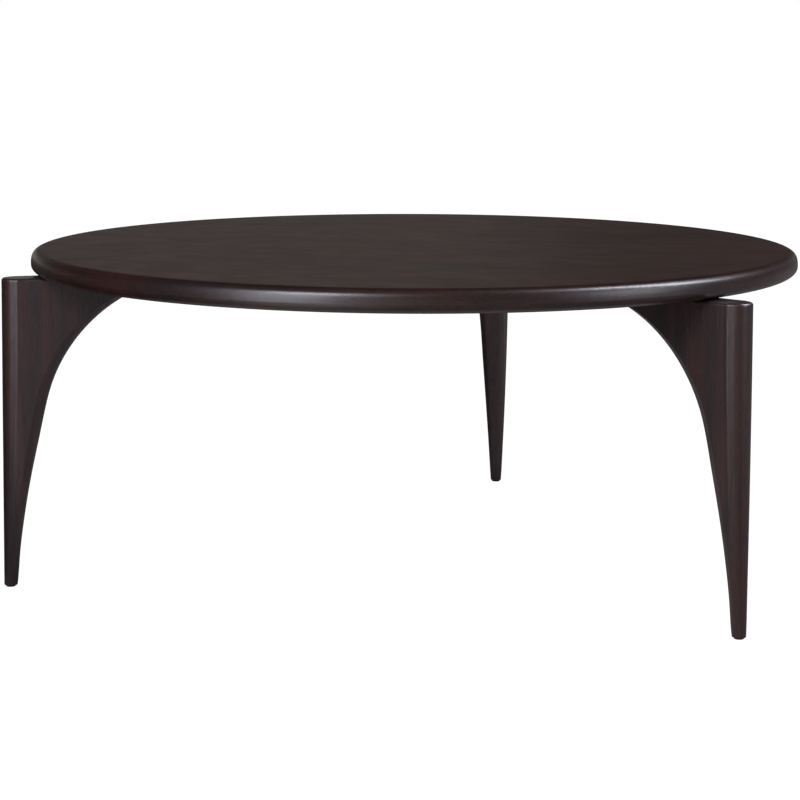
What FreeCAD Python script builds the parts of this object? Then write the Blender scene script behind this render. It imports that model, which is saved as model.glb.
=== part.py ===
import FreeCAD, Part
import math
import os

# A round cocktail table: an edge-glued disc with a soft rim, carried by three radial slab
# legs that stand proud of the rim, arch into the underside and taper to slim feet.
# The frame has its origin on the floor under the middle of the top, with +Z up.
# All lengths are in millimetres and all angles in degrees.

# Overall sizes
top_diameter = 1067.0
top_thickness = 31.0
table_height = 457.0

# Rim of the top: a full shoulder above the widest line and an undercut below it
rim_shoulder_inset = 17.0
rim_shoulder_fullness = 0.75
rim_undercut_inset = 25.0
rim_undercut_height = 12.5
rim_undercut_fullness = 0.65

# Boards glued side by side into the top
top_board_count = 8

# Directions in which the legs stand, counted from +X
leg_azimuths = {"back": 90.0, "left": 210.0, "right": 330.0}

# Leg outline, seen along the table's rim
leg_overhang = 42.0
leg_splay = 8.0
foot_depth = 18.0
ankle_radius = 1250.0
inner_straight_height = 76.0
inner_lean = 13.1
arch_radius = 219.0
arch_crown_cover = 2.3
leg_tip_height = 12.0

# Leg thickness, seen along a radius of the table, between sides that bow like long arcs
leg_thickness = 43.0
foot_thickness = 17.0

# Rounded edges of the legs; the upright edges take a share of half the thickness,
# and no edge takes more than its limit of the wood beside it. An upright edge leaves
# the side at a soft arris, runs on as a flank and ends in a round nose.
leg_roundness = 0.9
leg_arris_share = 0.3
leg_flank_angle = 25.0
leg_top_round = 4.0
foot_round = 2.0
round_limit = 0.45

# Level sections that shape the leg, in its ankle, its straight stretch and its arch
ankle_sections = 4
straight_sections = 2
arch_sections = 7

# Glue joint between the upright and the knee of each leg
knee_seam_inset = 76.0
dowel_diameter = 10.0
dowel_length = 50.0
dowel_cover = 16.0
dowel_pitch = 40.0

# Steel plate let into the underside, one over each leg
plate_length = 120.0
plate_width = 110.0
plate_thickness = 4.0
plate_corner_radius = 10.0
plate_rim_setback = 5.0
plate_pocket_clearance = 0.3

# Machine screws through the plate into threaded inserts in the leg
leg_screw_pitch = 24.0
leg_screw_end_margin = 38.0
leg_screw_plate_margin = 20.0
leg_screw_diameter = 6.0
leg_screw_head_diameter = 11.5
leg_screw_length = 17.0
leg_screw_socket_width = 4.0
leg_screw_socket_depth = 2.2
insert_diameter = 9.5
insert_length = 15.0
insert_hole_runout = 2.0
thread_clearance = 0.1

# Wood screws through the plate's wings into the top
wing_screw_rows = 3
wing_screw_edge_margin = 15.0
wing_screw_diameter = 5.0
wing_screw_head_diameter = 9.5
wing_screw_cover = 9.0
wing_screw_point_length = 6.0
wing_screw_point_diameter = 1.0
wing_screw_slot_width = 1.2
wing_screw_slot_length = 5.0
wing_screw_slot_depth = 1.6

# Nailed glides under the feet
glide_diameter = 12.5
glide_height = 1.5
glide_pin_diameter = 3.0
glide_pin_length = 15.0

# Sizes that follow from the ones above
top_radius = top_diameter / 2
leg_top = table_height - top_thickness
leg_outer_top = top_radius + leg_overhang
leg_outer_foot = leg_outer_top + leg_splay
foot_inner = leg_outer_foot - foot_depth
lean = math.radians(inner_lean)
arch_centre_height = leg_top - arch_crown_cover - arch_radius
arch_start_height = arch_centre_height + arch_radius * math.sin(lean)
ankle_height = arch_start_height - inner_straight_height
ankle_start_lean = math.asin(math.sin(lean) - (ankle_height - glide_height) / ankle_radius)
ankle_top = foot_inner - ankle_radius * (math.cos(ankle_start_lean) - math.cos(lean))
arch_start = ankle_top - inner_straight_height * math.tan(lean)
arch_centre = arch_start - arch_radius * math.cos(lean)
arch_end_height = leg_top - leg_tip_height
arch_end_angle = math.asin((arch_end_height - arch_centre_height) / arch_radius)
leg_tip = arch_centre + arch_radius * math.cos(arch_end_angle)
knee_seam = leg_outer_top - knee_seam_inset
plate_outer = top_radius - rim_undercut_inset - plate_rim_setback
plate_inner = plate_outer - plate_length
insert_hole_depth = max(insert_length, leg_screw_length - plate_thickness) + insert_hole_runout
wing_screw_length = top_thickness - wing_screw_cover
side_rise = arch_end_height - glide_height
side_set_in = (leg_thickness - foot_thickness) / 2
side_radius = (side_rise**2 + side_set_in**2) / (2 * side_set_in)

# Distance under which two places count as the same
near = 0.01


def point(x, y, z):
    return FreeCAD.Vector(x, y, z)


def line(start, end):
    return Part.LineSegment(start, end).toShape()


def arc(start, middle, end):
    return Part.Arc(start, middle, end).toShape()


def bezier(poles):
    curve = Part.BezierCurve()
    curve.setPoles(poles)
    return curve.toShape()


def turned(profile):
    """Solid turned about the vertical axis from radius and height points joined by lines."""
    corners = [point(radius, 0, height) for radius, height in profile]
    face = Part.Face(Part.makePolygon(corners + corners[:1]))
    return face.revolve(point(0, 0, 0), point(0, 0, 1), 360)


def placed(shape, x, y, z):
    """Copy of a shape moved to a place in the leg's own frame."""
    copy = shape.copy()
    copy.translate(point(x, y, z))
    return copy


def at_leg(shape, azimuth):
    """Copy of a shape turned from the leg's own frame to its place round the table."""
    copy = shape.copy()
    copy.rotate(point(0, 0, 0), point(0, 0, 1), azimuth)
    return copy


def spaced(first, last, pitch):
    """Places from first to last, as near to the pitch as fits and never closer."""
    span = last - first
    gaps = max(0, math.floor(span / pitch))
    if gaps == 0:
        return [(first + last) / 2]
    return [first + span * index / gaps for index in range(gaps + 1)]


def cut_all(shape, tools):
    """The shape with every tool taken away from it."""
    for tool in tools:
        if shape.BoundBox.intersect(tool.BoundBox):
            shape = shape.cut(tool)
    return shape


# The top
def make_top_disc():
    """Disc with a full shoulder, a widest line below the middle and an undercut."""
    upper, lower = table_height, leg_top
    widest = lower + rim_undercut_height
    shoulder = top_radius - rim_shoulder_inset
    undercut = top_radius - rim_undercut_inset
    shoulder_curve = bezier(
        [
            point(shoulder, 0, upper),
            point(shoulder + rim_shoulder_fullness * rim_shoulder_inset, 0, upper),
            point(top_radius, 0, widest + rim_shoulder_fullness * (upper - widest)),
            point(top_radius, 0, widest),
        ]
    )
    undercut_curve = bezier(
        [
            point(top_radius, 0, widest),
            point(top_radius, 0, widest - rim_undercut_fullness * rim_undercut_height),
            point(undercut + rim_undercut_fullness * rim_undercut_inset, 0, lower),
            point(undercut, 0, lower),
        ]
    )
    edges = [
        line(point(0, 0, lower), point(0, 0, upper)),
        line(point(0, 0, upper), point(shoulder, 0, upper)),
        shoulder_curve,
        undercut_curve,
        line(point(undercut, 0, lower), point(0, 0, lower)),
    ]
    face = Part.Face(Part.Wire(edges))
    return face.revolve(point(0, 0, 0), point(0, 0, 1), 360)


def make_top_boards(disc):
    """Equal boards along X, cut from the disc."""
    width = top_diameter / top_board_count
    boards = []
    for index in range(top_board_count):
        corner = point(-top_diameter, index * width - top_radius, 0)
        slab = Part.makeBox(2 * top_diameter, width, 2 * table_height, corner)
        boards.append(disc.common(slab))
    return boards


# The legs, each modelled along +X and then turned to its place
def outer_edge(height):
    """Radius of the leg's outer edge at a height."""
    share = (height - glide_height) / (leg_top - glide_height)
    return leg_outer_foot + share * (leg_outer_top - leg_outer_foot)


def inner_edge(height):
    """Radius of the leg's inner edge at a height: ankle, straight lean, then arch."""
    if height < ankle_height:
        sine = math.sin(lean) - (ankle_height - height) / ankle_radius
        return ankle_top + ankle_radius * (math.sqrt(1 - sine**2) - math.cos(lean))
    if height < arch_start_height:
        return ankle_top - (height - ankle_height) * math.tan(lean)
    return arch_centre + math.sqrt(arch_radius**2 - (height - arch_centre_height) ** 2)


def arch_height(radius):
    """Height of the arch above the floor at a radius inside its circle."""
    return arch_centre_height + math.sqrt(arch_radius**2 - (radius - arch_centre) ** 2)


def half_thickness(height):
    """Half of the leg's thickness at a height, between sides that are arcs."""
    below = arch_end_height - height
    return leg_thickness / 2 - side_radius + math.sqrt(side_radius**2 - below**2)


def corner_places():
    """Places along a corner of size 1, as the way along the side and the way in from it.

    They are the ends and middles of the arris, of the flank and of the nose.
    """
    flank = math.radians(leg_flank_angle)
    sine, cosine = math.sin(flank), math.cos(flank)
    depth_left = 1 - leg_arris_share * (1 - cosine)
    length_left = 1 - leg_arris_share * sine
    nose = (cosine * depth_left - sine * length_left) / (1 - sine)

    def on_arris(angle):
        return leg_arris_share * math.sin(angle), leg_arris_share * (1 - math.cos(angle))

    def on_nose(angle):
        return 1 - nose * (1 - math.sin(angle)), 1 - nose * math.cos(angle)

    middle = (flank + math.pi / 2) / 2
    arris = [on_arris(0), on_arris(flank / 2), on_arris(flank)]
    return arris + [on_nose(flank), on_nose(middle), on_nose(math.pi / 2)]


def make_leg_section(height):
    """Level outline of the leg: a rectangle whose corners run from an arris into a nose."""
    outer = outer_edge(height)
    inner = inner_edge(height)
    half = half_thickness(height)
    corner = min(leg_roundness * half, round_limit * (outer - inner))
    corners = []
    for edge, end, side, from_nose in (
        (outer, 1, 1, True),
        (inner, -1, 1, False),
        (inner, -1, -1, True),
        (outer, 1, -1, False),
    ):
        places = [
            point(edge - end * corner * (1 - along), side * (half - corner * inward), height)
            for along, inward in corner_places()
        ]
        corners.append(places[::-1] if from_nose else places)

    edges = []
    for index, places in enumerate(corners):
        following = corners[(index + 1) % len(corners)]
        edges.append(arc(*places[:3]))
        edges.append(line(places[2], places[3]))
        edges.append(arc(*places[3:]))
        edges.append(line(places[-1], following[0]))
    return Part.Wire(edges)


def steps(first, last, count):
    """Evenly spaced values from first up to, but not including, last."""
    return [first + (last - first) * index / count for index in range(count)]


def leg_section_heights():
    """Heights of the sections, from the foot to the end of the arch."""
    angles = steps(lean, arch_end_angle, arch_sections) + [arch_end_angle]
    return (
        steps(glide_height, ankle_height, ankle_sections)
        + steps(ankle_height, arch_start_height, straight_sections)
        + [arch_centre_height + arch_radius * math.sin(angle) for angle in angles]
    )


def is_level(edge, height):
    """Whether an edge lies in the level plane at a height."""
    box = edge.BoundBox
    return abs(box.ZMin - height) < near and abs(box.ZMax - height) < near


def make_leg():
    """Whole leg with its rounded edges, before it is parted into its two boards."""
    sections = [make_leg_section(height) for height in leg_section_heights()]
    shaft = Part.makeLoft(sections, True, False)
    head = Part.Face(sections[-1]).extrude(point(0, 0, leg_tip_height))
    leg = shaft.fuse(head)
    top_edges = [edge for edge in leg.Edges if is_level(edge, leg_top)]
    leg = leg.makeFillet(min(leg_top_round, round_limit * leg_tip_height), top_edges)
    foot_edges = [edge for edge in leg.Edges if is_level(edge, glide_height)]
    foot_half_width = min(foot_depth, foot_thickness) / 2
    return leg.makeFillet(min(foot_round, round_limit * foot_half_width), foot_edges)


def make_leg_boards(leg):
    """Upright and knee, parted at the glue joint."""
    length = leg_outer_foot - leg_tip + leg_thickness
    corner = point(knee_seam, -leg_thickness, 0)
    outside = Part.makeBox(length, 2 * leg_thickness, table_height, corner)
    return leg.common(outside), leg.cut(outside)


def make_leg_dowels():
    """Dowels across the glue joint, spaced between the arch and the bottoms of the insert holes."""
    inner_end = knee_seam - dowel_length / 2
    lowest = arch_height(inner_end) + dowel_cover
    highest = leg_top - insert_hole_depth - dowel_diameter / 2
    radius = dowel_diameter / 2
    along = point(1, 0, 0)
    heights = spaced(lowest, highest, dowel_pitch)
    return [Part.makeCylinder(radius, dowel_length, point(inner_end, 0, height), along) for height in heights]


# Plates, screws, inserts and glides
def make_plate_blank(margin):
    """Plate with rounded corners, grown sideways by a margin."""
    length = plate_length + 2 * margin
    width = plate_width + 2 * margin
    corner = point(plate_inner - margin, -width / 2, leg_top)
    blank = Part.makeBox(length, width, plate_thickness, corner)
    uprights = [edge for edge in blank.Edges if edge.BoundBox.ZLength > plate_thickness - near]
    return blank.makeFillet(plate_corner_radius + margin, uprights)


def leg_screw_places():
    """Radii of the screws that hold the plate to the knee of the leg."""
    first = max(leg_tip + leg_screw_end_margin, plate_inner + leg_screw_plate_margin)
    last = min(knee_seam - leg_screw_end_margin, plate_outer - leg_screw_plate_margin)
    return spaced(first, last, leg_screw_pitch)


def make_leg_screw_blank():
    """Countersunk machine screw without its socket, head up, its head's face at height zero."""
    shank = leg_screw_diameter / 2
    head = leg_screw_head_diameter / 2
    return turned([(0, 0), (head, 0), (shank, shank - head), (shank, -leg_screw_length), (0, -leg_screw_length)])


def make_hexagon_socket():
    """Hexagonal recess for the face of a machine screw's head."""
    corner_radius = leg_screw_socket_width / math.sqrt(3)
    turns = [math.radians(60 * index) for index in range(6)]
    corners = [
        point(corner_radius * math.cos(turn), corner_radius * math.sin(turn), -leg_screw_socket_depth)
        for turn in turns
    ]
    outline = Part.makePolygon(corners + corners[:1])
    return Part.Face(outline).extrude(point(0, 0, 2 * leg_screw_socket_depth))


def make_insert():
    """Threaded sleeve, top face at height zero."""
    bore = leg_screw_diameter / 2 + thread_clearance
    outside = insert_diameter / 2
    return turned([(bore, 0), (outside, 0), (outside, -insert_length), (bore, -insert_length)])


def wing_screw_places():
    """Radius and sideways place of the screws that hold the plate's wings to the top."""
    span = plate_length - 2 * wing_screw_edge_margin
    first = plate_inner + wing_screw_edge_margin
    aside = plate_width / 2 - wing_screw_edge_margin
    rows = [first + span * index / (wing_screw_rows - 1) for index in range(wing_screw_rows)]
    return [(row, side * aside) for row in rows for side in (-1, 1)]


def make_wing_screw_blank():
    """Countersunk wood screw without its recess, head down, its head's face at height zero."""
    shank = wing_screw_diameter / 2
    head = wing_screw_head_diameter / 2
    tip = wing_screw_point_diameter / 2
    return turned(
        [
            (0, 0),
            (head, 0),
            (shank, head - shank),
            (shank, wing_screw_length - wing_screw_point_length),
            (tip, wing_screw_length),
            (0, wing_screw_length),
        ]
    )


def make_cross_recess():
    """Cross recess for the face of a wood screw's head."""
    long, short, depth = wing_screw_slot_length, wing_screw_slot_width, wing_screw_slot_depth
    bar = Part.makeBox(long, short, 2 * depth, point(-long / 2, -short / 2, -depth))
    across = Part.makeBox(short, long, 2 * depth, point(-short / 2, -long / 2, -depth))
    return bar.fuse(across)


def make_glide():
    """Round glide with the pin that holds it in the foot."""
    disc = glide_diameter / 2
    pin = glide_pin_diameter / 2
    pin_top = glide_height + glide_pin_length
    glide = turned([(0, 0), (disc, 0), (disc, glide_height), (pin, glide_height), (pin, pin_top), (0, pin_top)])
    middle = (leg_outer_foot + foot_inner) / 2
    return placed(glide, middle, 0, 0)


def make_leg_set():
    """Every piece of one leg in the leg's own frame, and what it takes away from the top."""
    upright, knee = make_leg_boards(make_leg())
    dowels = make_leg_dowels()
    plate_top = leg_top + plate_thickness
    leg_screw_blank = make_leg_screw_blank()
    leg_screw = leg_screw_blank.cut(make_hexagon_socket())
    leg_screws = [placed(leg_screw, place, 0, plate_top) for place in leg_screw_places()]
    leg_screw_holes = [placed(leg_screw_blank, place, 0, plate_top) for place in leg_screw_places()]
    insert = make_insert()
    inserts = [placed(insert, place, 0, leg_top) for place in leg_screw_places()]
    insert_hole = Part.makeCylinder(insert_diameter / 2, insert_hole_depth, point(0, 0, -insert_hole_depth))
    insert_holes = [placed(insert_hole, place, 0, leg_top) for place in leg_screw_places()]
    wing_blank = make_wing_screw_blank()
    wing_screw = wing_blank.cut(make_cross_recess())
    wing_screws = [placed(wing_screw, place, aside, leg_top) for place, aside in wing_screw_places()]
    wing_holes = [placed(wing_blank, place, aside, leg_top) for place, aside in wing_screw_places()]
    glide = make_glide()
    pieces = {
        "leg_upright": [cut_all(upright, dowels + [glide])],
        "leg_knee": [cut_all(knee, dowels + insert_holes)],
        "leg_dowels": dowels,
        "leg_plate": [cut_all(make_plate_blank(0), leg_screw_holes + wing_holes)],
        "plate_leg_screws": leg_screws,
        "leg_inserts": inserts,
        "plate_top_screws": wing_screws,
        "foot_glide": [glide],
    }
    taken_from_top = [make_plate_blank(plate_pocket_clearance)] + wing_holes
    return pieces, taken_from_top


def main():
    """Write every piece of the table as its own file."""
    nodes = {}
    leg_pieces, taken_from_top = make_leg_set()
    top_cuts = [at_leg(tool, azimuth) for azimuth in leg_azimuths.values() for tool in taken_from_top]
    for index, board in enumerate(make_top_boards(make_top_disc())):
        nodes[f"top_board_{index + 1}"] = [cut_all(board, top_cuts)]
    for side, azimuth in leg_azimuths.items():
        for piece, solids in leg_pieces.items():
            nodes[f"{side}_{piece}"] = [at_leg(solid, azimuth) for solid in solids]
    os.makedirs("parts", exist_ok=True)
    for name, shapes in nodes.items():
        solids = [solid for shape in shapes for solid in shape.Solids]
        shape = solids[0] if len(solids) == 1 else Part.makeCompound(solids)
        shape.exportStep(f"parts/{name}.step")
        print(f"{name}: {len(solids)} solids, {shape.Volume / 1000:.1f} cm3, valid {shape.isValid()}")


main()
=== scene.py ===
import math

import bpy
from mathutils import Matrix, Vector


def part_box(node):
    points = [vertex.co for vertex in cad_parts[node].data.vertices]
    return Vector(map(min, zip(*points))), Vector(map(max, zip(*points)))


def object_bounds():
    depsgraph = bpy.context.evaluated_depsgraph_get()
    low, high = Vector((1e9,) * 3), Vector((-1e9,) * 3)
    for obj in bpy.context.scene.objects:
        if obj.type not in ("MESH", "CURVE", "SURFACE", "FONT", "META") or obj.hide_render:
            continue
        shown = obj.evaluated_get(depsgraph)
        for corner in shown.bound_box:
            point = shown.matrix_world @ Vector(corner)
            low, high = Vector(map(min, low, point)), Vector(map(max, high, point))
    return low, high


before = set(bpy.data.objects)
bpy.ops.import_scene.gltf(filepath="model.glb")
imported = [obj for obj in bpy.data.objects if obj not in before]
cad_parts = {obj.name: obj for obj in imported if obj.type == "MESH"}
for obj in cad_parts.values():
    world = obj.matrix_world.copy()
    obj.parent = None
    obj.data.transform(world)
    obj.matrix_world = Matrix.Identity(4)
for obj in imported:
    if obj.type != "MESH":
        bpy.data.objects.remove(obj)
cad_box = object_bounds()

# The looks of a round cocktail table in dark stained wood: finishes, floor, light and camera.
# Lengths are in metres and angles in degrees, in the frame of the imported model. Colours are linear.

# The table: its height and board names from the frame, and where each leg stands
table_height = cad_box[1].z
leg_azimuths = {"back": 90.0, "left": 210.0, "right": 330.0}
board_names = sorted(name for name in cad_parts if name.startswith("top_board_"))

# No leg reaches as far forward as the rim, so the front of the box gives the radius
top_radius = -cad_box[0].y

# Camera, set back from the middle of the table, with its lens and sensor in millimetres
camera_azimuth = 14.19
camera_distance = 3.026
camera_height = 0.7554
camera_pitch = 9.763
camera_yaw = -0.362
camera_roll = 0.168
camera_lens = 96.74
camera_sensor = 36.0

# Stained wood of the top and of the legs

# A grain has its repeats per metre along and across the boards, and its levels of detail.
# Strands are rows of open pores, which take more stain and less lacquer.
top_finish = {
    "dark": (0.0140, 0.0074, 0.0066),
    "light": (0.0510, 0.0260, 0.0225),
    "red": (0.0780, 0.0245, 0.0185),
    "grey": (0.0130, 0.0115, 0.0125),
    "figure": 0.7,
    "tone_shares": {"rings": 0.12, "streaks": 0.23, "mottle": 0.45, "fibres": 0.20},
    "streak_grain": (6.0, 95.0, 3.0),
    "mottle_grain": (17.0, 34.0, 3.0),
    "band_grain": (4.0, 15.0, 3.0),
    "strand_stain": 0.35,
    "strand_dulling": 0.02,
    "strand_lacquer_loss": 0.06,
    "relief": 0.00003,
    "roughness": (0.395, 0.370),
    "ior": 1.2,
    "lacquer": 0.82,
    "lacquer_ior": 1.75,
    "lacquer_roughness": 0.34,
}
leg_finish = {
    "dark": (0.0170, 0.0085, 0.0080),
    "light": (0.0780, 0.0380, 0.0350),
    "red": (0.0900, 0.0300, 0.0270),
    "grey": (0.0250, 0.0210, 0.0225),
    "figure": 1.3,
    "tone_shares": {"rings": 0.10, "streaks": 0.55, "mottle": 0.25, "fibres": 0.10},
    "streak_grain": (2.0, 95.0, 3.0),
    "mottle_grain": (7.2, 34.0, 3.0),
    "band_grain": (1.1, 46.0, 3.0),
    "strand_stain": 0.30,
    "strand_dulling": 0.10,
    "strand_lacquer_loss": 0.30,
    "relief": 0.00010,
    "roughness": (0.42, 0.33),
    "ior": 1.6,
    "lacquer": 0.5,
    "lacquer_ior": 1.5,
    "lacquer_roughness": 0.26,
}

# Patterns that the top and the legs share
sway_grain = (1.6, 9.0, 2.0)
sway_width = 0.03
ring_wave = {"Scale": 42.0, "Distortion": 1.2, "Detail": 2.0, "Detail Scale": 2.0}
blotch_grain = (5.0, 14.0, 2.0)
fibre_grain = (20.0, 700.0, 3.0)
strand_grain = (13.0, 380.0, 2.0)
pore_grain = (45.0, 900.0, 1.0)
figure_contrast = (0.36, 0.64)
strand_contrast = (0.54, 0.66)
pore_contrast = (0.58, 0.68)
hue_contrast = (0.38, 0.62)
hue_shares = {"bands": 0.65, "blotches": 0.35}
hue_strength = 0.5
pore_stain = 0.55
pore_colour = (0.0070, 0.0045, 0.0042)
relief_shares = {"fibres": 0.6, "pores": -0.6, "strands": -0.6}
tone_range = (0.20, 0.80)

# Rim of the top: brushed streaks, and painted shade: a darker, redder broken line where the shoulder
# starts, standing in for the shade of the crease there
rim_streak_repeats = (26.0, 26.0, 210.0)
rim_streak_contrast = (0.34, 0.66)
rim_streak_share = 0.7
rim_relief = 12.0
rim_shoulder_inset = 0.017
# Painted crease shade: its width, the repeats of its breaks, their contrast and its darker colour
crease_shade_width = 0.006
crease_shade_repeats = 9.0
crease_shade_contrast = (0.42, 0.62)
crease_shade_colour = (0.0310, 0.0130, 0.0110)

# The streaks and the lacquer of the rim fade out between two upright parts of the normal
rim_streak_fade = (0.35, 0.85)
rim_lacquer_fade = (0.85, 0.985)

# Stretch of a log that each board comes from, and its pith: how far aside, how deep and how tilted
top_shift_along = 0.73
top_shift_up = 0.31
top_pith = (0.035, 0.09, 1.2)
leg_shift_start = 4.1
leg_shift_along = 1.37
knee_shift_along = 0.61
leg_pith_distance = 0.5
leg_pith = (0.11, 0.05, 0.8)

# Dowels of pale, unfinished wood
dowel_colours = ((0.42, 0.27, 0.15), (0.58, 0.40, 0.24))
dowel_streak_grain = (14.0, 500.0, 3.0)
dowel_fibre_grain = (60.0, 2200.0, 3.0)
dowel_tone_shares = {"streaks": 0.6, "fibres": 0.4}
dowel_roughness = (0.55, 0.7)
dowel_relief = 0.0001

# Hardware finishes, with the repeats per metre of their clouds and their grit
hardware = {
    "plate_paint": {
        "colours": ((0.012, 0.012, 0.013), (0.020, 0.020, 0.021)),
        "metallic": 0.0,
        "roughness": (0.42, 0.55),
        "clouds": 40.0,
        "grit": 1500.0,
        "grit_height": 0.00006,
    },
    "screw_zinc": {
        "colours": ((0.42, 0.42, 0.43), (0.60, 0.60, 0.60)),
        "metallic": 1.0,
        "roughness": (0.28, 0.42),
        "clouds": 300.0,
        "grit": 4000.0,
        "grit_height": 0.00001,
    },
    "insert_brass": {
        "colours": ((0.55, 0.38, 0.14), (0.70, 0.50, 0.20)),
        "metallic": 1.0,
        "roughness": (0.28, 0.42),
        "clouds": 300.0,
        "grit": 4000.0,
        "grit_height": 0.00001,
    },
    "glide_plastic": {
        "colours": ((0.015, 0.015, 0.015), (0.028, 0.028, 0.028)),
        "metallic": 0.0,
        "roughness": (0.45, 0.6),
        "clouds": 200.0,
        "grit": 3000.0,
        "grit_height": 0.00003,
    },
}
hardware_of_leg = {
    "leg_plate": "plate_paint",
    "plate_leg_screws": "screw_zinc",
    "plate_top_screws": "screw_zinc",
    "leg_inserts": "insert_brass",
    "foot_glide": "glide_plastic",
}

# Noise of plain surfaces
noise_detail = 3.0
noise_roughness = 0.55
grit_detail = 2.0
tint_contrast = (0.35, 0.65)
roughness_contrast = (0.3, 0.7)

# Soft boxes, each either only mirrored in the table or only lighting it

# A place is an azimuth from the camera's side, an elevation and a distance. A radiance of 1 shows as white.
light_colour = (0.86, 0.88, 1.0)
soft_boxes = {
    "right_softbox": {"place": (88, 43, 2.6), "size": (0.75, 1.4), "radiance": 16.0, "mirrored": True},
    "right_card": {"place": (59, 14, 2.6), "size": (0.9, 1.1), "radiance": 3.4, "mirrored": True},
    "right_fill": {"place": (85, 37, 2.6), "size": (1.0, 1.1), "radiance": 8.0, "mirrored": False},
    "left_softbox": {"place": (-30, 34, 2.6), "size": (0.8, 0.7), "radiance": 14.0, "mirrored": True},
    "left_card": {"place": (-32, 11, 1.9), "size": (0.64, 1.0), "radiance": 4.3, "mirrored": True},
    "left_fill": {"place": (-25, 30, 5.0), "size": (1.7, 1.7), "radiance": 12.0, "mirrored": False},
}

# Faint light from straight above
overhead_colour = (1.0, 0.85, 0.75)
overhead_strength = 0.35
overhead_angle = 100.0

# Room as the table mirrors it: a lighter left, a dimmer right, dim far sides and a dark ceiling

# One fades into the next between two rightward or upward parts of the direction.
room_colour = (1.0, 0.94, 0.88)
room_left = 0.52
room_right = 0.245
room_left_to_right = (0.01, 0.11)
room_far_left_share = 0.20
room_far_left_fade = (-0.75, -0.30)
room_far_right_share = 0.30
room_far_right_fade = (0.25, 0.60)
room_ceiling_share = 0.05
room_ceiling_fade = (0.10, 0.25)

# Floor as the table mirrors it, with a pool of light in front on the left

# One fades into the next between two distances from the middle, or two rightward or backward parts of
# the direction from there. The sides of the pool fade between two cosines of the angle to its middle.
floor_colour = (1.0, 0.95, 0.98)
floor_under = 0.24
floor_under_to_outside = (0.35, 0.75)
floor_front = 0.18
floor_front_to_behind = (-0.5, 0.2)
floor_behind = 0.04
floor_behind_right = 0.20
floor_behind_to_right = (0.2, 0.7)
floor_left_share = 0.1
floor_left_fade = (-0.87, -0.64)
pool_brightness = 0.85
pool_azimuth = -25.0
pool_side_fade = (0.962, 0.995)
pool_near_fade = (0.3, 1.6)
pool_far_fade = (3.5, 6.0)

# Floor as the camera sees it: how far it reaches, its paper, and the glow that makes it white
floor_reach = 60.0
paper_repeats = 1.5
paper_colours = ((0.86, 0.86, 0.86), (0.90, 0.90, 0.90))
paper_glow = 1.2
paper_glow_share = 0.86
white = (1.0, 1.0, 1.0)


# Helpers for node trees
def add(tree, kind, inputs=None, **settings):
    """A new node with its settings made and its inputs set or linked."""
    node = tree.nodes.new(kind)
    for name, value in settings.items():
        setattr(node, name, value)
    for name, value in (inputs or {}).items():
        if isinstance(value, bpy.types.NodeSocket):
            tree.links.new(value, node.inputs[name])
        else:
            node.inputs[name].default_value = value
    return node


def opaque(colour):
    """A colour with full alpha, or the socket that gives one."""
    return colour if isinstance(colour, bpy.types.NodeSocket) else (*colour, 1.0)


def calculate(tree, operation, first, second=0.0, third=0.0):
    """Number that a math node gives."""
    return add(tree, "ShaderNodeMath", {0: first, 1: second, 2: third}, operation=operation).outputs[0]


def calculate_vector(tree, operation, first, second=(0, 0, 0)):
    """Vector that a vector math node gives."""
    return add(tree, "ShaderNodeVectorMath", {0: first, 1: second}, operation=operation).outputs["Vector"]


def measure(tree, operation, first, second=(0, 0, 0)):
    """Number that a vector math node gives."""
    return add(tree, "ShaderNodeVectorMath", {0: first, 1: second}, operation=operation).outputs["Value"]


def weighted_sum(tree, patterns, shares):
    """Sum of patterns, each times its share."""
    total = 0.0
    for name, share in shares.items():
        total = calculate(tree, "MULTIPLY_ADD", patterns[name], share, total)
    return total


def noise(tree, vector, scale, detail=noise_detail):
    """Factor of a noise texture."""
    inputs = {"Vector": vector, "Scale": scale, "Detail": detail, "Roughness": noise_roughness}
    return add(tree, "ShaderNodeTexNoise", inputs).outputs[0]


def spread(tree, value, span, to_low=0.0, to_high=1.0):
    """A value mapped smoothly from a span to another one."""
    low, high = span
    inputs = {"Value": value, "From Min": low, "From Max": high, "To Min": to_low, "To Max": to_high}
    return add(tree, "ShaderNodeMapRange", inputs, interpolation_type="SMOOTHSTEP").outputs[0]


# A mix node takes its numbers at inputs 2 and 3, and its colours at 6 and 7
def mix(tree, factor, first, second):
    """A number between two numbers."""
    return add(tree, "ShaderNodeMix", {0: factor, 2: first, 3: second}, data_type="FLOAT").outputs[0]


def blend(tree, factor, first, second):
    """A colour between two colours."""
    inputs = {0: factor, 6: opaque(first), 7: opaque(second)}
    return add(tree, "ShaderNodeMix", inputs, data_type="RGBA").outputs[2]


def bump(tree, height, distance):
    """Normal raised by a height."""
    return add(tree, "ShaderNodeBump", {"Height": height, "Distance": distance}).outputs[0]


def object_place(tree):
    """Place on the object, which is also the place in the frame."""
    return add(tree, "ShaderNodeTexCoord").outputs["Object"]


def turned(tree, vector, azimuth):
    """A vector turned back by an azimuth."""
    rotation = (0, 0, -math.radians(azimuth))
    return add(tree, "ShaderNodeMapping", {"Vector": vector, "Rotation": rotation}).outputs[0]


def new_material(name):
    """An empty node material and its tree."""
    material = bpy.data.materials.new(name)
    material.use_nodes = True
    tree = material.node_tree
    tree.nodes.clear()
    return material, tree


def shade(tree, inputs):
    """Principled surface joined to the material's output."""
    surface = add(tree, "ShaderNodeBsdfPrincipled", inputs)
    add(tree, "ShaderNodeOutputMaterial", {"Surface": surface.outputs[0]})


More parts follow.
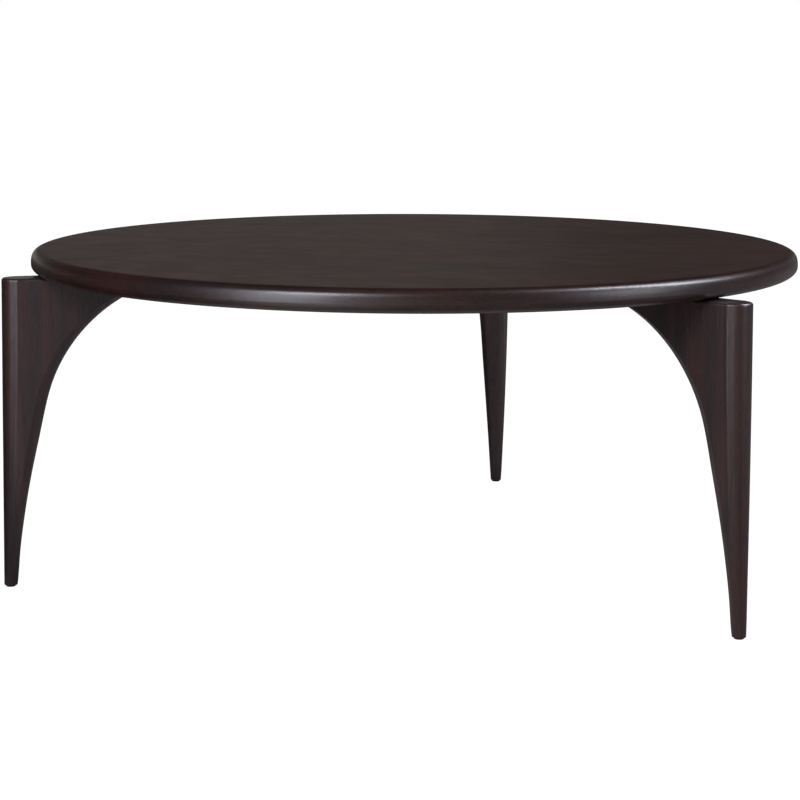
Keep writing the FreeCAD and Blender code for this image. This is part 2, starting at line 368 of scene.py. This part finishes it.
# Wood
def grain_space(tree, upright, azimuth, shift):
    """Coordinates with X along the grain: level at an azimuth, or up a leg that stands there."""
    place = turned(tree, object_place(tree), azimuth)
    if upright:
        parts = add(tree, "ShaderNodeSeparateXYZ", {0: place})
        lifted = {0: parts.outputs[2], 1: parts.outputs[0], 2: parts.outputs[1]}
        place = add(tree, "ShaderNodeCombineXYZ", lifted).outputs[0]
    return calculate_vector(tree, "ADD", place, shift)


def grain_noise(tree, along, grain):
    """Noise drawn out along the grain."""
    lengthwise, across, detail = grain
    stretched = calculate_vector(tree, "MULTIPLY", along, (lengthwise, across, across))
    return noise(tree, stretched, 1.0, detail)


def swaying(tree, along):
    """Coordinates of the grain that wander sideways along it."""
    sway = grain_noise(tree, along, sway_grain)
    drift = calculate(tree, "MULTIPLY_ADD", sway, sway_width, -sway_width / 2)
    aside = add(tree, "ShaderNodeCombineXYZ", {1: drift, 2: drift}).outputs[0]
    return calculate_vector(tree, "ADD", along, aside)


def growth_rings(tree, swayed, pith):
    """Rings around the pith, which lies beside the grain line; its tilt draws the figure out."""
    aside, depth, tilt = pith
    place = {"Vector": swayed, "Location": (0, aside, depth), "Rotation": (0, math.radians(tilt), 0)}
    inputs = {"Vector": add(tree, "ShaderNodeMapping", place).outputs[0], **ring_wave}
    settings = {"wave_type": "RINGS", "rings_direction": "X", "wave_profile": "SAW"}
    return add(tree, "ShaderNodeTexWave", inputs, **settings).outputs["Fac"]


def wood_patterns(tree, finish, along, pith):
    """The patterns that make up the figure of the wood."""
    swayed = swaying(tree, along)
    return {
        "rings": growth_rings(tree, swayed, pith),
        "streaks": spread(tree, grain_noise(tree, along, finish["streak_grain"]), figure_contrast),
        "mottle": spread(tree, grain_noise(tree, swayed, finish["mottle_grain"]), figure_contrast),
        "bands": grain_noise(tree, swayed, finish["band_grain"]),
        "blotches": grain_noise(tree, along, blotch_grain),
        "fibres": grain_noise(tree, along, fibre_grain),
        "strands": spread(tree, grain_noise(tree, along, strand_grain), strand_contrast),
        "pores": spread(tree, grain_noise(tree, along, pore_grain), pore_contrast),
    }


def contrasted(tree, value, figure):
    """A value drawn away from a half where the figure is above 1, and towards it where it is below."""
    return calculate(tree, "MULTIPLY_ADD", value, figure, (1 - figure) / 2)


def wood_stain(tree, finish, patterns, tone):
    """Colour of the stain: light or dark by the tone, red or grey by the bands, darkest in the pores."""
    turn = spread(tree, weighted_sum(tree, patterns, hue_shares), hue_contrast)
    stain = blend(tree, contrasted(tree, tone, finish["figure"]), finish["dark"], finish["light"])
    hue = blend(tree, contrasted(tree, turn, finish["figure"]), finish["grey"], finish["red"])
    stain = blend(tree, hue_strength, stain, hue)
    for name, share in (("strands", finish["strand_stain"]), ("pores", pore_stain)):
        stain = blend(tree, calculate(tree, "MULTIPLY", patterns[name], share), stain, pore_colour)
    return stain


def painted_crease_shade(tree):
    """Share of painted crease shade, a darker and redder broken line where the rim's shoulder starts."""
    place = object_place(tree)
    radius = measure(tree, "LENGTH", calculate_vector(tree, "MULTIPLY", place, (1, 1, 0)))
    away = calculate(tree, "ABSOLUTE", calculate(tree, "SUBTRACT", radius, top_radius - rim_shoulder_inset))
    line = spread(tree, away, (0.0, crease_shade_width), 1.0, 0.0)
    broken = spread(tree, noise(tree, place, crease_shade_repeats), crease_shade_contrast)
    return calculate(tree, "MULTIPLY", line, broken)


def rim_streaks(tree):
    """Streaks that run along the rim, with their share of the tone and the rim's share of the lacquer."""
    normal = add(tree, "ShaderNodeNewGeometry").outputs["True Normal"]
    level = calculate(tree, "ABSOLUTE", add(tree, "ShaderNodeSeparateXYZ", {0: normal}).outputs[2])
    share = spread(tree, level, rim_streak_fade, rim_streak_share, 0.0)
    lacquered = spread(tree, level, rim_lacquer_fade, 1.0, 0.0)
    place = calculate_vector(tree, "MULTIPLY", object_place(tree), rim_streak_repeats)
    streaks = spread(tree, noise(tree, place, 1.0), rim_streak_contrast)
    return streaks, share, lacquered


def make_wood(name, finish, shift, pith, upright=False, azimuth=0.0):
    """Dark stained, open-pored wood under a satin lacquer, which on the top covers only the rim."""
    material, tree = new_material(name)
    along = grain_space(tree, upright, azimuth, shift)
    patterns = wood_patterns(tree, finish, along, pith)
    strands = patterns["strands"]
    tone = weighted_sum(tree, patterns, finish["tone_shares"])
    relief = weighted_sum(tree, patterns, relief_shares)
    lacquer = calculate(tree, "MULTIPLY_ADD", strands, -finish["strand_lacquer_loss"], finish["lacquer"])
    if not upright:
        brushed, brushed_share, lacquered = rim_streaks(tree)
        ridges = calculate(tree, "MULTIPLY", brushed, brushed_share)
        tone = mix(tree, brushed_share, tone, brushed)
        relief = calculate(tree, "MULTIPLY_ADD", ridges, rim_relief, relief)
        lacquer = calculate(tree, "MULTIPLY", lacquer, lacquered)
    stain = wood_stain(tree, finish, patterns, tone)
    if not upright:
        # Painted shade: a darker line along the crease where the rim's shoulder starts
        stain = blend(tree, painted_crease_shade(tree), stain, crease_shade_colour)
    roughness = spread(tree, tone, tone_range, *finish["roughness"])
    roughness = calculate(tree, "MULTIPLY_ADD", strands, finish["strand_dulling"], roughness)
    shade(
        tree,
        {
            "Base Color": stain,
            "Roughness": roughness,
            "Normal": bump(tree, relief, finish["relief"]),
            "IOR": finish["ior"],
            "Coat Weight": lacquer,
            "Coat IOR": finish["lacquer_ior"],
            "Coat Roughness": finish["lacquer_roughness"],
        },
    )
    return material


def make_dowel_wood(name, azimuth):
    """Pale unfinished wood with its grain across the leg."""
    material, tree = new_material(name)
    along = grain_space(tree, False, azimuth, (0, 0, 0))
    patterns = {
        "streaks": grain_noise(tree, along, dowel_streak_grain),
        "fibres": grain_noise(tree, along, dowel_fibre_grain),
    }
    tone = weighted_sum(tree, patterns, dowel_tone_shares)
    shade(
        tree,
        {
            "Base Color": blend(tree, spread(tree, tone, tint_contrast), *dowel_colours),
            "Roughness": spread(tree, patterns["streaks"], roughness_contrast, *dowel_roughness),
            "Normal": bump(tree, patterns["fibres"], dowel_relief),
        },
    )
    return material


# Metal and plastic
def make_hardware_finish(name, finish):
    """Metal, paint or plastic with a clouded colour and a fine grit."""
    material, tree = new_material(name)
    place = object_place(tree)
    clouds = noise(tree, place, finish["clouds"])
    grit = noise(tree, place, finish["grit"], grit_detail)
    shade(
        tree,
        {
            "Base Color": blend(tree, spread(tree, clouds, tint_contrast), *finish["colours"]),
            "Metallic": finish["metallic"],
            "Roughness": spread(tree, clouds, roughness_contrast, *finish["roughness"]),
            "Normal": bump(tree, grit, finish["grit_height"]),
        },
    )
    return material


# Pieces
def dress(node, material):
    """Give a node of the frame one material all over."""
    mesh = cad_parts[node].data
    mesh.materials.clear()
    mesh.materials.append(material)


def dress_top():
    """Every board of the top from its own stretch of a log."""
    aside, depth, tilt = top_pith
    for index, name in enumerate(board_names):
        side = 1 if index % 2 else -1
        low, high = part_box(name)
        middle = (low.y + high.y) / 2
        lift = top_shift_up * index
        shift = (top_shift_along * index, 0.0, lift)
        pith = (aside * side - middle, depth * side - table_height - lift, tilt * side)
        dress(name, make_wood(f"top_wood_{index + 1}", top_finish, shift, pith))


def dress_legs():
    """Both boards of every leg, with the grain upright, and what joins and carries the leg."""
    finishes = {name: make_hardware_finish(name, finish) for name, finish in hardware.items()}
    aside, depth, tilt = leg_pith
    for index, (side, azimuth) in enumerate(leg_azimuths.items()):
        for board, (piece, seam_side) in enumerate((("upright", 1), ("knee", -1))):
            shift = (leg_shift_start + leg_shift_along * index + knee_shift_along * board, 0.0, 0.0)
            pith = (aside * seam_side - leg_pith_distance, depth * seam_side, tilt * seam_side)
            wood = make_wood(f"{side}_{piece}_wood", leg_finish, shift, pith, upright=True, azimuth=azimuth)
            dress(f"{side}_leg_{piece}", wood)
        dress(f"{side}_leg_dowels", make_dowel_wood(f"{side}_dowel_wood", azimuth))
        for piece, finish in hardware_of_leg.items():
            dress(f"{side}_{piece}", finishes[finish])


# Light, room, floor and camera
def from_camera(azimuth, elevation, distance, centre):
    """A place around a centre, counted from the camera's side of the table."""
    turn = math.radians(azimuth + camera_azimuth)
    rise = math.radians(elevation)
    level = distance * math.cos(rise)
    return centre + Vector((level * math.sin(turn), -level * math.cos(turn), distance * math.sin(rise)))


def make_softbox(name, place, size, radiance, mirrored):
    """Rectangle of an even radiance, turned to the table: only mirrored in it, or only lighting it."""
    centre = Vector((0, 0, table_height))
    width, height = size
    light = bpy.data.lights.new(name, "AREA")
    light.shape = "RECTANGLE"
    light.size = width
    light.size_y = height
    light.energy = radiance * math.pi * width * height
    light.color = light_colour
    holder = bpy.data.objects.new(name, light)
    holder.location = from_camera(*place, centre)
    holder.rotation_euler = (centre - holder.location).to_track_quat("-Z", "Y").to_euler()
    holder.visible_camera = False
    holder.visible_diffuse = not mirrored
    holder.visible_glossy = mirrored
    bpy.context.scene.collection.objects.link(holder)


def make_overhead_light():
    """Even soft light from straight above, which isn't mirrored in the table."""
    light = bpy.data.lights.new("overhead_light", "SUN")
    light.energy = overhead_strength
    light.color = overhead_colour
    light.angle = math.radians(overhead_angle)
    holder = bpy.data.objects.new("overhead_light", light)
    holder.visible_camera = False
    holder.visible_glossy = False
    bpy.context.scene.collection.objects.link(holder)


def make_room():
    """White to the camera; to the table a dim room, lighter on its left side."""
    world = bpy.data.worlds.new("studio")
    world.use_nodes = True
    tree = world.node_tree
    tree.nodes.clear()
    direction = add(tree, "ShaderNodeTexCoord").outputs["Generated"]
    parts = add(tree, "ShaderNodeSeparateXYZ", {0: turned(tree, direction, camera_azimuth)})
    rightward, upward = parts.outputs[0], parts.outputs[2]
    far_left = spread(tree, rightward, room_far_left_fade, room_far_left_share, 1.0)
    far_right = spread(tree, rightward, room_far_right_fade, 1.0, room_far_right_share)
    ceiling = spread(tree, upward, room_ceiling_fade, 1.0, room_ceiling_share)
    brightness = spread(tree, rightward, room_left_to_right, room_left, room_right)
    for share in (far_left, far_right, ceiling):
        brightness = calculate(tree, "MULTIPLY", brightness, share)
    seen = add(tree, "ShaderNodeLightPath").outputs["Is Camera Ray"]
    inputs = {"Color": blend(tree, seen, room_colour, white), "Strength": mix(tree, seen, brightness, 1.0)}
    background = add(tree, "ShaderNodeBackground", inputs)
    add(tree, "ShaderNodeOutputWorld", {"Surface": background.outputs[0]})
    bpy.context.scene.world = world


def mirrored_floor(tree):
    """Brightness of the floor as the table mirrors it: lit in front, dim beside and behind."""
    place = object_place(tree)
    away = measure(tree, "LENGTH", place)
    towards = calculate_vector(tree, "NORMALIZE", place)
    parts = add(tree, "ShaderNodeSeparateXYZ", {0: turned(tree, towards, camera_azimuth)})
    rightward, backward = parts.outputs[0], parts.outputs[1]
    behind = spread(tree, rightward, floor_behind_to_right, floor_behind, floor_behind_right)
    outside = mix(tree, spread(tree, backward, floor_front_to_behind), floor_front, behind)
    left = spread(tree, rightward, floor_left_fade, floor_left_share, 1.0)
    outside = calculate(tree, "MULTIPLY", outside, left)
    brightness = mix(tree, spread(tree, away, floor_under_to_outside), floor_under, outside)
    return calculate(tree, "ADD", brightness, pool_of_light(tree, away, towards))


def pool_of_light(tree, away, towards):
    """Brightness that the pool of light adds at a distance and in a direction from the middle."""
    pool_direction = from_camera(pool_azimuth, 0, 1.0, Vector((0, 0, 0)))
    nearness = measure(tree, "DOT_PRODUCT", towards, pool_direction)
    pool = spread(tree, nearness, pool_side_fade, 0.0, pool_brightness)
    pool = calculate(tree, "MULTIPLY", pool, spread(tree, away, pool_near_fade))
    return calculate(tree, "MULTIPLY", pool, spread(tree, away, pool_far_fade, 1.0, 0.0))


def make_floor_paper():
    """White paper to the camera, dimmer where the table mirrors it, and clear from below."""
    material, tree = new_material("floor_paper")
    material.cycles.emission_sampling = "NONE"
    paper = blend(tree, noise(tree, object_place(tree), paper_repeats), *paper_colours)
    matt = add(tree, "ShaderNodeBsdfDiffuse", {"Color": paper}).outputs[0]
    glow = add(tree, "ShaderNodeEmission", {"Color": opaque(white), "Strength": paper_glow}).outputs[0]
    lit = add(tree, "ShaderNodeMixShader", {0: paper_glow_share, 1: matt, 2: glow}).outputs[0]
    dimmed = {"Color": opaque(floor_colour), "Strength": mirrored_floor(tree)}
    mirrored = add(tree, "ShaderNodeEmission", dimmed).outputs[0]
    seen = add(tree, "ShaderNodeLightPath").outputs["Is Camera Ray"]
    above = add(tree, "ShaderNodeMixShader", {0: seen, 1: mirrored, 2: lit}).outputs[0]
    clear = add(tree, "ShaderNodeBsdfTransparent").outputs[0]
    below = add(tree, "ShaderNodeNewGeometry").outputs["Backfacing"]
    surface = add(tree, "ShaderNodeMixShader", {0: below, 1: above, 2: clear}).outputs[0]
    add(tree, "ShaderNodeOutputMaterial", {"Surface": surface})
    return material


def make_floor():
    """Wide pale floor under the table."""
    sides = ((-1, -1), (1, -1), (1, 1), (-1, 1))
    corners = [(floor_reach * x, floor_reach * y, 0) for x, y in sides]
    mesh = bpy.data.meshes.new("floor")
    mesh.from_pydata(corners, [], [(0, 1, 2, 3)])
    mesh.materials.append(make_floor_paper())
    floor = bpy.data.objects.new("floor", mesh)
    bpy.context.scene.collection.objects.link(floor)


def make_camera():
    """Camera in front of the table, turned a little to its right leg."""
    camera = bpy.data.cameras.new("camera")
    camera.lens = camera_lens
    camera.sensor_width = camera_sensor
    holder = bpy.data.objects.new("camera", camera)
    holder.matrix_world = (
        Matrix.Rotation(math.radians(camera_azimuth), 4, "Z")
        @ Matrix.Translation((0, -camera_distance, camera_height))
        @ Matrix.Rotation(-math.radians(camera_yaw), 4, "Z")
        @ Matrix.Rotation(math.radians(90 - camera_pitch), 4, "X")
        @ Matrix.Rotation(math.radians(camera_roll), 4, "Z")
    )
    bpy.context.scene.collection.objects.link(holder)
    bpy.context.scene.camera = holder


def make_studio():
    """Soft boxes on the left and right, a faint light above, the room, the floor and the camera."""
    for name, box in soft_boxes.items():
        make_softbox(name, **box)
    make_overhead_light()
    make_room()
    make_floor()
    make_camera()
    bpy.context.scene.view_settings.view_transform = "Standard"


dress_top()
dress_legs()
make_studio()
